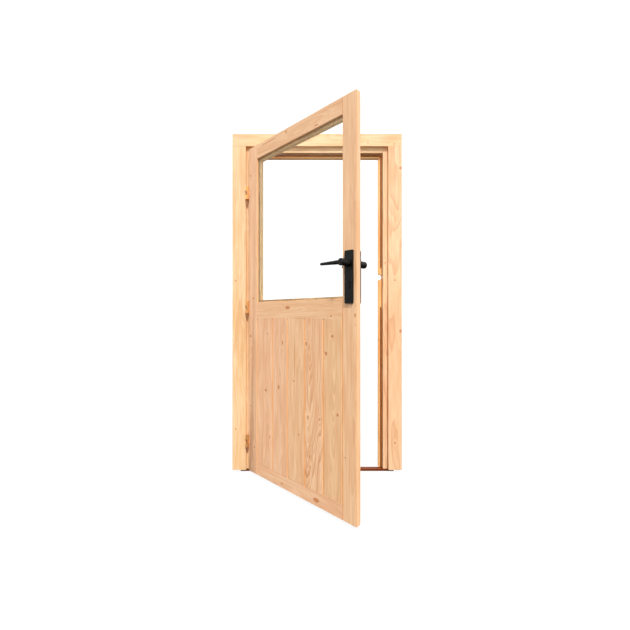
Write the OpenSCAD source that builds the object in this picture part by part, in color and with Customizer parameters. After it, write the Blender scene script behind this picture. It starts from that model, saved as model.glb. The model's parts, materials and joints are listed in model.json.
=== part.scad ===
// Half-glazed stable door: one boarded timber leaf with a glazed upper light, hung in its own
// rebated timber frame. Millimetres. X runs across the doorway, Y into the building and Z up.
// The origin is the centre of the underside of the sill.

/* [Frame] */
// Width over the outer faces of the jambs
frame_w = 1000; // [780:5:1300]
// Height from the underside of the sill to the top of the head
frame_h = 2000; // [1700:5:2500]
// Width of a jamb's front face
jamb_face = 79; // [60:1:120]
// Height of the head's front face
head_face = 73; // [60:1:120]
// Depth of the frame, front to back
frame_d = 67; // [60:1:120]
// Depth of the outer rebate, which takes the lip of the leaf
lip_d = 19; // [14:1:30]
// Depth of the middle rebate, which takes the back part of the leaf
mid_d = 26; // [20:1:36]
// How far the jamb steps in behind its front face
jamb_step = 29; // [20:1:45]
// How far the head steps down behind its front face
head_step = 31; // [20:1:45]
// Width of the stop battens
stop_w = 23; // [15:1:40]
// Thickness of the sill
sill_t = 15; // [10:1:40]
// Depth of the sill, front to back
sill_d = 27; // [20:1:46]
// Length of the sill that is let in under each jamb
sill_under = 35; // [15:1:60]
// How far in from the frame's front the sill starts
sill_back = 20; // [0:1:30]

/* [Leaf] */
// How far the leaf stands open
ajar_deg = 45.5; // [5:0.5:90]
// Thickness of the leaf
leaf_t = 44; // [40:1:60]
// Thickness of the leaf's lip, which lies over the frame
leaf_lip_t = 26; // [20:1:30]
// Width of the rebate round the back of the leaf
leaf_rebate = 13; // [8:1:20]
// Gap between the edge of the leaf and the jamb's lip
side_gap = 18.5; // [12:0.5:24]
// Gap between the top of the leaf and the head's lip
top_gap = 25; // [12:0.5:30]
// Gap under the leaf
floor_gap = 3; // [2:0.5:12]
// Least gap between the back of the lip and the frame behind it
lip_gap = 1; // [0.5:0.5:3]
// Width of a stile
stile_w = 80; // [70:1:120]
// Height of the top rail
top_rail_h = 80; // [60:1:140]
// Height of the middle rail
mid_rail_h = 93; // [60:1:160]
// Height of the bottom rail
bottom_rail_h = 68; // [60:1:200]
// Height of the middle rail's top edge above the sill
mid_rail_top = 990; // [700:5:1300]
// Bevel along the inner edges of stiles and rails
arris = 3; // [1:0.5:6]

/* [Boards] */
// How far the board joints sit towards the lock side of an even spacing
board_shift = 10; // [0:1:20]
// Thickness of a board
board_t = 18; // [14:1:22]
// Bevel along the long edges of a board
board_bevel = 4; // [2:0.5:6]
// Length of the tongues on boards and in grooves
tongue_l = 6; // [4:0.5:9]
// Thickness of the tongues
tongue_t = 6; // [4:0.5:8]

/* [Glazing] */
// Thickness of the glass
glass_t = 4; // [3:1:8]
// Depth from the leaf's face to the glazing tape
reveal_d = 10; // [8:1:14]
// Thickness of the glazing tape
tape_t = 1; // [0.5:0.5:3]
// How far the glass sits in behind the face of a stile or rail
glass_cover = 11; // [8:1:16]
// How far the beads stand into the opening
bead_show = 10; // [6:1:16]
// Depth of a bead, front to back
bead_d = 22; // [16:1:24]
// Distance between bead pins
pin_pitch = 150; // [100:10:250]

/* [Lock and levers] */
// Height of the lever spindle above the sill
spindle_h = 1143; // [1040:1:1200]
// Distance from the face of the forend to the spindle
backset = 25; // [24:1:30]
// Distance between the spindle and the lock cylinder
cylinder_pitch = 85; // [72:1:92]
// Length of a handle plate
plate_l = 232; // [220:1:260]
// Width of a handle plate
plate_w = 46; // [38:1:52]
// Thickness of a handle plate
plate_t = 8; // [6:0.5:8]
// Distance from the plate's top edge to the spindle
plate_above = 56; // [48:1:60]
// Radius of a lever's hub
hub_r = 16; // [12:0.5:17]
// How far a lever stands off its plate
lever_off = 55; // [44:1:62]
// Length of a lever from the spindle to its tip
lever_l = 128; // [105:1:140]
// Width of the square spindle
spindle_w = 8; // [7:0.5:9]
// Radius of the lever's neck, which turns in the plate
neck_r = 9; // [7:0.5:10]
// How far the latch bolt stands out
latch_out = 11; // [9:0.5:12]

/* [Hinges] */
// Radius of a hinge knuckle
knuckle_r = 4.5; // [4:0.5:6]
// Height of a hinge
hinge_l = 70; // [60:1:110]
// Radius of a hinge pin
pin_r = 2.25; // [1.75:0.25:2.75]
// Thickness of a hinge flap
flap_t = 2; // [1.75:0.25:2.5]
// How far the hinge axis stands in front of the leaf's face
axis_front = 6; // [5.5:0.5:12]
// How far the hinge axis stands off the leaf's edge
axis_off = 3; // [1:0.5:8]

/* [Hidden] */
$fn = 48;

EPS = 0.01;
// Running clearance round shafts, and the looser gap round parts that slide
RUN = 0.05;
SLIDE = 0.3;

// Colours
PINE = "#e6b88c";
PINE_LIGHT = "#f2cfa4";
PINE_ORANGE = "#e0a466";
HARDWOOD = "#94532d";
RUBBER = "#a9713f";
ZINC = "#d8c38c";
STEEL = "#b9bcc0";
BLACK = "#262423";

// Frame, closed position. Every piece is drawn with the frame's front at y = 0, then moved back.
origin_y = sill_back + sill_d / 2;
post_z = sill_t;
lip_x = frame_w / 2 - jamb_face;
mid_x = lip_x - jamb_step;
stop_x = mid_x - stop_w;
head_lip_z = frame_h - head_face;
head_mid_z = head_lip_z - head_step;
stop_y = lip_d + mid_d;
sill_l = 2 * (lip_x + sill_under);

// Least room that the seals need: their round front is as deep as it is wide
seal_w = 6;
seal_clear = 0.5;
seal_room = seal_w + seal_clear;

// Leaf, closed position. It hangs by its lip, or further out where its thickness needs room for the seals.
leaf_y = min(lip_d - lip_gap - leaf_lip_t, stop_y - seal_room - leaf_t);
leaf_x = -(lip_x - side_gap);
leaf_w = 2 * (lip_x - side_gap);
leaf_z = post_z + floor_gap;
leaf_top = head_lip_z - top_gap;
back_top = leaf_top - leaf_rebate;
mid_top = post_z + mid_rail_top;
mid_bottom = mid_top - mid_rail_h;
bottom_top = leaf_z + bottom_rail_h;
top_bottom = leaf_top - top_rail_h;
panel_w = leaf_w - 2 * stile_w;
axis_x = leaf_x - axis_off;
axis_y = leaf_y - axis_front;

// Tenons of the rails
tenon_l = 40;
tenon_t = 12;
tenon_w = 24;
tenon_gap = 0.5;

// Boards, one node each: the middle three are equal, and the two at the sides differ by the shift
board_count = 5;
board_pitch = panel_w / board_count;
board_groove = tongue_l + 0.5;

// Glazing
glass_w0 = reveal_d + tape_t;
bead_w0 = glass_w0 + glass_t;
light_u0 = stile_w;
light_u1 = leaf_w - stile_w;
glass_gap = 1.5;
bead_in = glass_cover;

// Lock, in leaf coordinates: u from the hinge edge, w from the outer face, z up
lock_w = leaf_lip_t + (leaf_t - leaf_lip_t) / 2 + 1;
forend_u = leaf_w - leaf_rebate;
lock_u = forend_u - backset;
lock_z = post_z + spindle_h;
cyl_z = lock_z - cylinder_pitch;
forend_t = 3;
forend_w = 15;
forend_above = 50;
forend_below = 63;
case_t = 12;
case_wall = 1.5;
case_back = 23;
case_above = 32;
case_below = 45;
case_fit = 0.1;
follower_r = 9;
follower_arm_r = 18;
follower_arm_w = 7;
latch_z = lock_z + 22;
latch_h = 12;
latch_w = 9;
bolt_z = lock_z - 42;
bolt_h = 20;
bolt_w = 8;
bolt_l = 38;
bolt_throw = 20;
cyl_r = 8.5;
cyl_lobe_w = 10;
cyl_drop = 24.5;
cyl_proud = 3;
cyl_w0 = -plate_t - cyl_proud;
cyl_w1 = leaf_t + plate_t;
plug_r = 6.5;
cam_r = 13;
cam_gap = 9;

// Handle plates and their through screws
plate_top = lock_z + plate_above;
plate_bottom = plate_top - plate_l;
plate_screw_in = 15;
plate_screw_r = 2.5;
// Wood left between the tips of the forend screws and the through screws, which may be at one height
forend_screw_room = 2.5;

// Room round the inside lever's hub in its notch, and at the handle plate where the seal is cut
notch_gap = 1;
seal_gap = 4;

// Hinges
hinge_z = [post_z + 175, post_z + 960, leaf_top - 255];
knuckle_gap = 0.4;
hinge_screw_r = 2;
hinge_screw_l = 28;
flap_depth = 23;

// Fixing holes through the jambs
fixing_r = 5.1;
fixing_z = [post_z + 150, post_z + 900, post_z + 1650];
fixing_y = lip_d + mid_d / 2;

// Joint between jambs and head, and the screws through it and through the sill
jamb_tenon_in = 20;
jamb_tenon_l = 45;
jamb_tenon_t = 20;
corner_screw_r = 3;
corner_screw_l = 120;
corner_screw_x = [for (share = [0.35, 0.65]) mid_x + share * (frame_w / 2 - mid_x)];
sill_screw_r = 2.5;
sill_screw_l = 60;

// Rubber seals on the front of the stops, just clear of the closed leaf
seal_in = 6;
seal_h = stop_y - (leaf_y + leaf_t) - seal_clear;
seal_z0 = post_z + 2;
seal_z1 = head_mid_z - seal_in - seal_w - 1;

// Strike plate on the lock-side jamb, and the pockets behind it
strike_t = 2;
strike_w = 15;
strike_y = leaf_y + lock_w;
strike_screw_r = 1.75;
strike_screw_l = 22;
strike_z0 = bolt_z - bolt_h / 2 - 34;
strike_z1 = latch_z + latch_h / 2 + 26;
strike_screw_z = [strike_z0 + 10, (bolt_z + bolt_h / 2 + latch_z - latch_h / 2) / 2, strike_z1 - 10];
pocket_gap = 1.5;
pocket_d = bolt_throw + 4;

// Heights of the tenons on the three rails, clear of the glazing rebate
top_tenon_z = [top_bottom + glass_cover + 6, back_top - 10];
mid_tenon_z = [mid_bottom + board_groove + 6, mid_top - glass_cover - 6];
bottom_tenon_z = [leaf_z + 10, bottom_top - board_groove - 6];

// Pins through the beads into the stiles and rails
bead_w1 = bead_w0 + bead_d;
bead_pin_r = 1.2;
bead_pin_l = 35;
bead_pin_head = 2;
bead_pin_w = bead_w0 + bead_d / 2;

// Lock case, its forend and their screws
case_u0 = lock_u - case_back;
case_u1 = forend_u - forend_t;
case_w0 = lock_w - case_t / 2;
case_w1 = lock_w + case_t / 2;
case_z0 = cyl_z - case_below;
case_z1 = lock_z + case_above;
forend_z0 = cyl_z - forend_below;
forend_z1 = lock_z + forend_above;
forend_screw_z = [forend_z0 + 9, forend_z1 - 9];
forend_screw_r = 2;
forend_screw_l = backset - plate_screw_r - forend_screw_room;
cylinder_screw_z = cyl_z - cyl_drop + 5;
cylinder_screw_r = 2.2;

// Levers: the rounding of the hub, the radii of the arm at the hub and at its tip, and its rise
hub_round = 4;
arm_r = 10.5;
tip_r = 6.3;
arm_rise = 2;
lever_clear = 0.3;

// A hinge has three knuckles: the outer two are the frame's and the middle one is the leaf's
knuckle_l = hinge_l / 3;

// Puts closed-position geometry in the object's own frame
module in_frame() {
    translate([0, -origin_y, 0]) children();
}

// Swings leaf geometry, drawn with u, w and z from the leaf's outer hinge corner, to where it rests
module on_leaf() {
    in_frame()
        translate([axis_x, axis_y, 0])
            rotate([0, 0, -ajar_deg])
                translate([leaf_x - axis_x, leaf_y - axis_y, 0])
                    children();
}

// A box given by its low and high corners
module block(low, high) {
    translate(low) cube(high - low);
}

// A cylinder along X, Y or Z from a start point
module rod_x(p, r, l) {
    translate(p) rotate([0, 90, 0]) cylinder(r = r, h = l);
}

module rod_y(p, r, l) {
    translate(p) rotate([-90, 0, 0]) cylinder(r = r, h = l);
}

module rod_z(p, r, l) {
    translate(p) cylinder(r = r, h = l);
}

// A countersunk wood screw along +Y with its head's face at y = 0
module screw_y(p, r, l) {
    head_r = 2 * r;
    translate(p) rotate([-90, 0, 0]) difference() {
        rotate_extrude() polygon([[0, 0], [head_r, 0], [r, r], [r, l - 2 * r], [0, l]]);
        for (turn = [0, 90]) rotate([0, 0, turn])
            translate([-head_r * 0.6, -r * 0.15, -EPS]) cube([head_r * 1.2, r * 0.3, r * 0.6]);
    }
}

// The hole that such a screw is driven in, with its countersink
module screw_hole_y(p, r, l) {
    head_r = 2 * r;
    translate(p) rotate([-90, 0, 0])
        rotate_extrude() polygon([[0, -EPS], [head_r + EPS, -EPS], [head_r, 0], [r, r], [r, l], [0, l]]);
}

// ---------------------------------------------------------------- frame

// One jamb, drawn for the lock side, with its tenon up into the head
module jamb() {
    difference() {
        union() {
            linear_extrude_z(post_z, head_lip_z) polygon([
                [lip_x, 0], [frame_w / 2, 0], [frame_w / 2, frame_d], [mid_x, frame_d],
                [mid_x, lip_d], [lip_x, lip_d]]);
            jamb_tenon(0);
        }
        for (z = fixing_z) rod_x([mid_x - EPS, fixing_y, z], fixing_r, frame_w / 2 - mid_x + 2 * EPS);
        corner_screw_places() screw_hole_y([0, 0, 0], corner_screw_r, corner_screw_l + 1);
    }
}

module linear_extrude_z(z0, z1) {
    translate([0, 0, z0]) linear_extrude(z1 - z0) children();
}

// Tenon on top of the lock-side jamb, grown by a gap to cut its mortise in the head
module jamb_tenon(gap) {
    block([mid_x + jamb_tenon_in - gap, frame_d / 2 - jamb_tenon_t / 2 - gap, head_lip_z - EPS],
        [frame_w / 2 - jamb_tenon_in + gap, frame_d / 2 + jamb_tenon_t / 2 + gap,
            head_lip_z + jamb_tenon_l + gap]);
}

// Places of the screws that go down through the head into the lock-side jamb
module corner_screw_places() {
    for (x = corner_screw_x) translate([x, frame_d / 2, frame_h]) rotate([-90, 0, 0]) children();
}

module frame_corner_screws() {
    color(STEEL) in_frame() for (side = [0, 1]) mirror([side, 0, 0])
        corner_screw_places() screw_y([0, 0, 0], corner_screw_r, corner_screw_l);
}

module jamb_hinge_side() {
    color(PINE_LIGHT) in_frame() difference() {
        mirror([1, 0, 0]) jamb();
        for (z = hinge_z) hinge_screw_places_frame(z)
            screw_hole_y([0, -flap_t, 0], hinge_screw_r, hinge_screw_l + 1);
        sill_screw_holes();
    }
}

module jamb_lock_side() {
    color(PINE_LIGHT) in_frame() difference() {
        jamb();
        strike_outline(strike_t, 0);
        latch_pocket();
        strike_screw_places() screw_hole_y([0, 0, 0], strike_screw_r, strike_screw_l + 1);
        sill_screw_holes();
    }
}

module frame_head() {
    color(PINE_LIGHT) in_frame() difference() {
        union() {
            block([-frame_w / 2, 0, head_lip_z], [frame_w / 2, frame_d, frame_h]);
            block([-mid_x, lip_d, head_mid_z], [mid_x, frame_d, head_lip_z + EPS]);
        }
        for (side = [0, 1]) mirror([side, 0, 0]) {
            jamb_tenon(tenon_gap);
            corner_screw_places() screw_hole_y([0, 0, 0], corner_screw_r, corner_screw_l + 1);
        }
    }
}

module sill() {
    color(HARDWOOD) in_frame() difference() {
        block([-sill_l / 2, sill_back, 0], [sill_l / 2, sill_back + sill_d, sill_t]);
        sill_screw_holes();
    }
}

// Places of the screws that go up through the sill into each jamb
module sill_screw_places() {
    for (side = [-1, 1])
        translate([side * (lip_x + sill_under / 2), sill_back + sill_d / 2, 0])
            rotate([90, 0, 0]) children();
}

module sill_screw_holes() {
    sill_screw_places() screw_hole_y([0, 0, 0], sill_screw_r, sill_screw_l + 1);
}

module sill_screws() {
    color(STEEL) in_frame() sill_screw_places() screw_y([0, 0, 0], sill_screw_r, sill_screw_l);
}

module stop_side() {
    block([stop_x, stop_y, post_z], [mid_x, frame_d, head_mid_z - stop_w]);
}

module stop_hinge_side() {
    color(PINE_ORANGE) in_frame() mirror([1, 0, 0]) stop_side();
}

// The stop on the lock side is notched where the inside lever's hub swings past it
module stop_lock_side() {
    notch_r = hub_r + notch_gap;
    swing_r = norm([lock_u + hub_r + axis_off, leaf_t + plate_t + lever_off + axis_front]);
    notch_x = axis_x + swing_r - hub_r;
    color(PINE_ORANGE) in_frame() difference() {
        stop_side();
        rod_y([notch_x, stop_y - 1, lock_z], notch_r, frame_d - stop_y + 2);
        block([stop_x - 1, stop_y - 1, lock_z - notch_r], [notch_x, frame_d + 1, lock_z + notch_r]);
    }
}

module stop_head() {
    color(PINE_ORANGE) in_frame()
        block([-mid_x, stop_y, head_mid_z - stop_w], [mid_x, frame_d, head_mid_z]);
}

// Cross-section of a seal: a flat foot on the stop and a round bulb towards the leaf

module seal_section() {
    flat = 2;
    r = seal_w / 2;
    translate([0, -flat]) square([seal_w, flat]);
    translate([r, -flat - (seal_h - flat - r)]) circle(r = r);
    translate([0, -flat - (seal_h - flat - r)]) square([seal_w, seal_h - flat - r]);
}

module seal_side(z0, z1) {
    translate([mid_x - seal_in - seal_w, stop_y, 0]) linear_extrude_z(z0, z1) seal_section();
}

module seal_hinge_side() {
    color(RUBBER) in_frame() mirror([1, 0, 0]) seal_side(seal_z0, seal_z1);
}

// On the lock side the seal is cut where the inside handle plate closes against the stop
module seal_lock_lower() {
    color(RUBBER) in_frame() seal_side(seal_z0, plate_bottom - seal_gap);
}

module seal_lock_upper() {
    color(RUBBER) in_frame() seal_side(plate_top + seal_gap, seal_z1);
}

module seal_head() {
    color(RUBBER) in_frame()
        translate([-(mid_x - seal_in), stop_y, head_mid_z - seal_in]) rotate([0, 90, 0])
            linear_extrude(2 * (mid_x - seal_in)) seal_section();
}

// The recess for the strike plate in the lock-side jamb

module strike_outline(t, gap) {
    block([mid_x - EPS, strike_y - strike_w / 2 - gap, strike_z0 - gap],
        [mid_x + t, strike_y + strike_w / 2 + gap, strike_z1 + gap]);
}

// Pockets behind the strike for the latch and the dead bolt
module latch_pocket() {
    pocket_at(latch_z, latch_h, latch_w);
    pocket_at(bolt_z, bolt_h, bolt_w);
}

module pocket_at(z, h, w) {
    block([mid_x - 1, strike_y - w / 2 - pocket_gap, z - h / 2 - pocket_gap],
        [mid_x + pocket_d, strike_y + w / 2 + pocket_gap, z + h / 2 + pocket_gap]);
}

module strike_screw_places() {
    for (z = strike_screw_z) translate([mid_x, strike_y, z]) rotate([0, 0, -90]) children();
}

module strike_plate() {
    color(STEEL) in_frame() difference() {
        block([mid_x, strike_y - strike_w / 2, strike_z0],
            [mid_x + strike_t, strike_y + strike_w / 2, strike_z1]);
        latch_pocket();
        strike_screw_places() screw_hole_y([0, 0, 0], strike_screw_r, strike_screw_l);
    }
}

module strike_screws() {
    color(STEEL) in_frame() strike_screw_places() screw_y([0, 0, 0], strike_screw_r, strike_screw_l);
}

// ---------------------------------------------------------------- hinges

// Knuckles of a hinge at height z, counted in thirds from its lower end

module knuckle(z, count_from, count_to) {
    translate([0, 0, z - hinge_l / 2 + count_from * knuckle_l + knuckle_gap / 2])
        cylinder(r = knuckle_r, h = (count_to - count_from) * knuckle_l - knuckle_gap);
}

module flap_band(z, count_from, count_to, low, high) {
    z0 = z - hinge_l / 2 + count_from * knuckle_l + knuckle_gap / 2;
    z1 = z - hinge_l / 2 + count_to * knuckle_l - knuckle_gap / 2;
    block([low[0], low[1], z0], [high[0], high[1], z1]);
}

// Screw places on the frame's flap, driven towards -X into the jamb's lip
module hinge_screw_places_frame(z) {
    for (row = [-1, 0, 1])
        translate([-lip_x, lip_d / 2, z + row * hinge_l * 0.36]) rotate([0, 0, 90]) children();
}

// Screw places on the leaf's flap, driven towards +u into the stile
module hinge_screw_places_leaf(z) {
    for (row = [-1, 0, 1])
        translate([0, leaf_lip_t / 2, z + row * hinge_l * 0.36]) rotate([0, 0, -90]) children();
}

module hinge_frame(z) {
    color(ZINC) in_frame() difference() {
        union() {
            for (part = [[0, 1], [2, 3]]) {
                translate([axis_x, axis_y, 0]) knuckle(z, part[0], part[1]);
                flap_band(z, part[0], part[1],
                    [-lip_x, axis_y - flap_t / 2], [axis_x, axis_y + flap_t / 2]);
            }
            for (part = [[0, 1], [2, 3]])
                flap_band(z, part[0], part[1], [-lip_x, axis_y - flap_t / 2], [-lip_x + flap_t, 0]);
            block([-lip_x, -EPS, z - hinge_l / 2], [-lip_x + flap_t, lip_d - 1, z + hinge_l / 2]);
        }
        rod_z([axis_x, axis_y, z - hinge_l], pin_r, 2 * hinge_l);
        translate([flap_t, 0, 0]) hinge_screw_places_frame(z)
            screw_hole_y([0, 0, 0], hinge_screw_r, hinge_screw_l);
    }
}

module hinge_lower_frame() { hinge_frame(hinge_z[0]); }
module hinge_middle_frame() { hinge_frame(hinge_z[1]); }
module hinge_upper_frame() { hinge_frame(hinge_z[2]); }

// The pins are held in the frame's knuckles, and the leaf's knuckles turn on them
module hinge_pins() {
    color(STEEL) in_frame() for (z = hinge_z) {
        rod_z([axis_x, axis_y, z - hinge_l / 2 - 1], pin_r, hinge_l + 2);
        translate([axis_x, axis_y, z + hinge_l / 2 - knuckle_gap / 2])
            cylinder(r = knuckle_r - 0.5, h = 2.5);
        translate([axis_x, axis_y, z - hinge_l / 2 + knuckle_gap / 2 - 2.5])
            cylinder(r = knuckle_r - 0.5, h = 2.5);
    }
}

module hinge_screws_frame() {
    color(STEEL) in_frame() for (z = hinge_z)
        translate([flap_t, 0, 0]) hinge_screw_places_frame(z)
            screw_y([0, 0, 0], hinge_screw_r, hinge_screw_l);
}

module hinge_leaf(z) {
    color(ZINC) on_leaf() difference() {
        union() {
            translate([-axis_off, -axis_front, 0]) knuckle(z, 1, 2);
            flap_band(z, 1, 2, [-flap_t, -axis_front], [0, 0]);
            block([-flap_t, 1, z - hinge_l / 2], [0, flap_depth, z + hinge_l / 2]);
            flap_band(z, 1, 2, [-flap_t, -EPS], [0, 1 + EPS]);
        }
        rod_z([-axis_off, -axis_front, z - hinge_l], pin_r + RUN, 2 * hinge_l);
        translate([-flap_t, 0, 0]) hinge_screw_places_leaf(z)
            screw_hole_y([0, 0, 0], hinge_screw_r, hinge_screw_l);
    }
}

module hinge_lower_leaf() { hinge_leaf(hinge_z[0]); }
module hinge_middle_leaf() { hinge_leaf(hinge_z[1]); }
module hinge_upper_leaf() { hinge_leaf(hinge_z[2]); }

module hinge_screws_leaf() {
    color(STEEL) on_leaf() for (z = hinge_z)
        translate([-flap_t, 0, 0]) hinge_screw_places_leaf(z)
            screw_y([0, 0, 0], hinge_screw_r, hinge_screw_l);
}

// ---------------------------------------------------------------- leaf: timber

// The leaf's outline with the rebate round its back, used to trim stiles and the top rail
module leaf_envelope() {
    block([0, 0, leaf_z], [leaf_w, leaf_lip_t, leaf_top]);
    block([leaf_rebate, leaf_lip_t - EPS, leaf_z], [leaf_w - leaf_rebate, leaf_t, back_top]);
}

// Everything that the glazing needs cut out of stiles and rails behind their front lip
module glazing_rebate() {
    block([light_u0 - glass_cover, reveal_d, mid_top - glass_cover],
        [light_u1 + glass_cover, leaf_t + 1, top_bottom + glass_cover]);
}

// Groove for the boards' tongues round the lower panel
module panel_groove() {
    block([light_u0 - board_groove, board_t / 2 - tongue_t / 2, bottom_top - board_groove],
        [light_u1 + board_groove, board_t / 2 + tongue_t / 2, mid_bottom + board_groove]);
}

// A bevel cut along an edge that runs in Z at u, on the outer face
module bevel_z(u, z0, z1, size) {
    linear_extrude_z(z0, z1) polygon([[u - size, -EPS], [u + size, -EPS], [u, size]]);
}

// The same along u at height z
module bevel_u(u0, u1, z, size) {
    translate([u0, 0, z]) rotate([0, 90, 0])
        linear_extrude(u1 - u0) polygon([[-size, -EPS], [size, -EPS], [0, size]]);
}

// Tenons at both ends of a rail between two heights, grown by a gap to cut the mortises
module rail_tenons(z0, z1, gap) {
    w0 = tenon_w - tenon_t / 2;
    block([stile_w - tenon_l - gap, w0 - gap, z0 - gap], [stile_w + EPS, w0 + tenon_t + gap, z1 + gap]);
    block([leaf_w - stile_w - EPS, w0 - gap, z0 - gap],
        [leaf_w - stile_w + tenon_l + gap, w0 + tenon_t + gap, z1 + gap]);
}

module all_mortises() {
    for (pair = [top_tenon_z, mid_tenon_z, bottom_tenon_z])
        rail_tenons(pair[0], pair[1], tenon_gap);
}

module stile_blank(u0) {
    intersection() {
        leaf_envelope();
        block([u0, -1, leaf_z - 1], [u0 + stile_w, leaf_t + 1, leaf_top + 1]);
    }
}

module stile_hinge_side() {
    color(PINE) on_leaf() difference() {
        stile_blank(0);
        glazing_rebate();
        panel_groove();
        all_mortises();
        bevel_z(stile_w, leaf_z - 1, leaf_top + 1, arris);
        for (z = hinge_z) hinge_screw_places_leaf(z)
            screw_hole_y([0, -flap_t, 0], hinge_screw_r, hinge_screw_l + 1);
        bead_pin_holes();
    }
}

module stile_lock_side() {
    color(PINE) on_leaf() difference() {
        stile_blank(leaf_w - stile_w);
        glazing_rebate();
        panel_groove();
        all_mortises();
        bevel_z(leaf_w - stile_w, leaf_z - 1, leaf_top + 1, arris);
        lock_mortise();
        bead_pin_holes();
    }
}

module rail_blank(z0, z1) {
    intersection() {
        leaf_envelope();
        block([stile_w, -1, z0], [leaf_w - stile_w, leaf_t + 1, z1]);
    }
}

module rail_top() {
    color(PINE) on_leaf() difference() {
        union() {
            rail_blank(top_bottom, leaf_top);
            rail_tenons(top_tenon_z[0], top_tenon_z[1], 0);
        }
        glazing_rebate();
        bevel_u(0, leaf_w, top_bottom, arris);
        bead_pin_holes();
    }
}

module rail_middle() {
    color(PINE) on_leaf() difference() {
        union() {
            rail_blank(mid_bottom, mid_top);
            rail_tenons(mid_tenon_z[0], mid_tenon_z[1], 0);
        }
        glazing_rebate();
        panel_groove();
        bevel_u(0, leaf_w, mid_top, arris / 2);
        bead_pin_holes();
    }
}

module rail_bottom() {
    color(PINE) on_leaf() difference() {
        union() {
            rail_blank(leaf_z, bottom_top);
            rail_tenons(bottom_tenon_z[0], bottom_tenon_z[1], 0);
        }
        panel_groove();
        bevel_u(0, leaf_w, bottom_top, arris / 2);
    }
}

// Where the joint before board i is, counted from the hinge side
function board_joint(i) = i == 0 ? stile_w : i == board_count ? leaf_w - stile_w
    : stile_w + i * board_pitch + board_shift;

// One tongued and grooved board, counted from the hinge side
module board(i) {
    u0 = board_joint(i);
    u1 = board_joint(i + 1);
    tongue_w0 = board_t / 2 - tongue_t / 2;
    first = i == 0;
    color(PINE) on_leaf() difference() {
        union() {
            block([u0, 0, bottom_top], [u1, board_t, mid_bottom]);
            block([u0 + (first ? 0 : board_groove), tongue_w0, bottom_top - tongue_l],
                [u1, tongue_w0 + tongue_t, mid_bottom + tongue_l]);
            block([u1 - EPS, tongue_w0, bottom_top], [u1 + tongue_l, tongue_w0 + tongue_t, mid_bottom]);
            if (first) block([u0 - tongue_l, tongue_w0, bottom_top],
                [u0 + EPS, tongue_w0 + tongue_t, mid_bottom]);
        }
        if (!first) block([u0 - 1, tongue_w0, bottom_top - tongue_l - 1],
            [u0 + board_groove, tongue_w0 + tongue_t, mid_bottom + tongue_l + 1]);
        bevel_z(u0, bottom_top - 1, mid_bottom + 1, board_bevel);
        bevel_z(u1, bottom_top - 1, mid_bottom + 1, board_bevel);
    }
}

module board_1() { board(0); }
module board_2() { board(1); }
module board_3() { board(2); }
module board_4() { board(3); }
module board_5() { board(4); }

// ---------------------------------------------------------------- leaf: glazing

module glass() {
    color("#dfeeea", 0.35) on_leaf()
        block([light_u0 - glass_cover + glass_gap, glass_w0, mid_top - glass_cover + glass_gap],
            [light_u1 + glass_cover - glass_gap, bead_w0, top_bottom + glass_cover - glass_gap]);
}

// Bedding tape between the front lip and the glass, set back a little from the sight line
module glazing_tape() {
    outer = glass_cover - glass_gap;
    inner = 2;
    color("#6b6259") on_leaf() difference() {
        block([light_u0 - outer, reveal_d, mid_top - outer],
            [light_u1 + outer, glass_w0, top_bottom + outer]);
        block([light_u0 - inner, reveal_d - 1, mid_top - inner],
            [light_u1 + inner, glass_w0 + 1, top_bottom + inner]);
    }
}

module bead_side_blank(u0, u1) {
    block([u0, bead_w0, mid_top + bead_show], [u1, bead_w1, top_bottom - bead_show]);
}

module bead_hinge_side() {
    color(PINE_LIGHT) on_leaf() difference() {
        bead_side_blank(light_u0 - bead_in, light_u0 + bead_show);
        bead_pin_holes();
    }
}

module bead_lock_side() {
    color(PINE_LIGHT) on_leaf() difference() {
        bead_side_blank(light_u1 - bead_show, light_u1 + bead_in);
        bead_pin_holes();
    }
}

module bead_top() {
    color(PINE_LIGHT) on_leaf() difference() {
        block([light_u0 - bead_in, bead_w0, top_bottom - bead_show],
            [light_u1 + bead_in, bead_w1, top_bottom + bead_in]);
        bead_pin_holes();
    }
}

module bead_bottom() {
    color(PINE_LIGHT) on_leaf() difference() {
        block([light_u0 - bead_in, bead_w0, mid_top - bead_in],
            [light_u1 + bead_in, bead_w1, mid_top + bead_show]);
        bead_pin_holes();
    }
}

// Places from a to b at an even spacing near the given pitch

function even_places(a, b, pitch) =
    let (count = max(2, round((b - a) / pitch))) [for (i = [0 : count - 1]) a + (i + 0.5) * (b - a) / count];

// Draws its children along +Z at each pin place, pointing out of the opening
module bead_pin_places() {
    for (z = even_places(mid_top, top_bottom, pin_pitch)) {
        translate([light_u0 + bead_show, bead_pin_w, z]) rotate([0, -90, 0]) children();
        translate([light_u1 - bead_show, bead_pin_w, z]) rotate([0, 90, 0]) children();
    }
    for (u = even_places(light_u0, light_u1, pin_pitch)) {
        translate([u, bead_pin_w, mid_top + bead_show]) rotate([180, 0, 0]) children();
        translate([u, bead_pin_w, top_bottom - bead_show]) children();
    }
}

module bead_pin_holes() {
    bead_pin_places() {
        translate([0, 0, -1]) cylinder(r = bead_pin_r, h = bead_pin_l + 1.5, $fn = 16);
        translate([0, 0, -1]) cylinder(r = bead_pin_head, h = 2, $fn = 24);
    }
}

module bead_pins() {
    color(STEEL) on_leaf() bead_pin_places() {
        cylinder(r = bead_pin_r, h = bead_pin_l, $fn = 16);
        cylinder(r = bead_pin_head, h = 1, $fn = 24);
    }
}

// ---------------------------------------------------------------- lock

// Outline of the profile cylinder in u and z, grown by a gap, with its axis at the origin
module cylinder_outline(gap) {
    circle(r = cyl_r + gap);
    translate([-cyl_lobe_w / 2 - gap, -cyl_drop - gap]) square([cyl_lobe_w + 2 * gap, cyl_drop]);
}

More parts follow.
